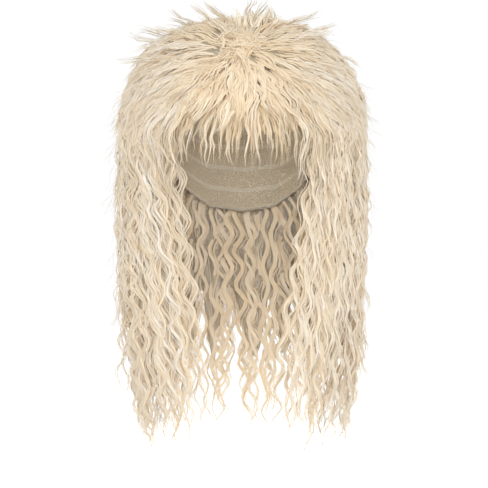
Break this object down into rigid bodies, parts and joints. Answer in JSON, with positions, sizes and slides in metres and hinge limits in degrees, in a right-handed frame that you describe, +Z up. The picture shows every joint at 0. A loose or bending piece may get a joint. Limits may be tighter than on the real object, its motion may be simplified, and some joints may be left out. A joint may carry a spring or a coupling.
{
  "type": "curly wig",
  "caption": "Long pale blond wig of teased, crimped hair with a fringe, on a stretch cap that is open for the head, face and neck.",
  "frame": {"origin": "inner apex of the cap, where the wig sits on the crown of the head", "axes": "+Z up, -Y out of the face opening, +X to the right as seen from the front"},
  "size_m": [0.2788, 0.282, 0.483],
  "materials": {
    "hair": "crimped synthetic fibre with a soft sheen",
    "cap_net": "matte stretch net"
  },
  "bodies": {
    "root": {"cap": "cap_net", "fringe_weft": "hair", "crown_weft_front": "hair", "crown_weft_back": "hair", "left_side_weft": "hair", "right_side_weft": "hair", "back_weft": "hair"}
  },
  "joints": []
}
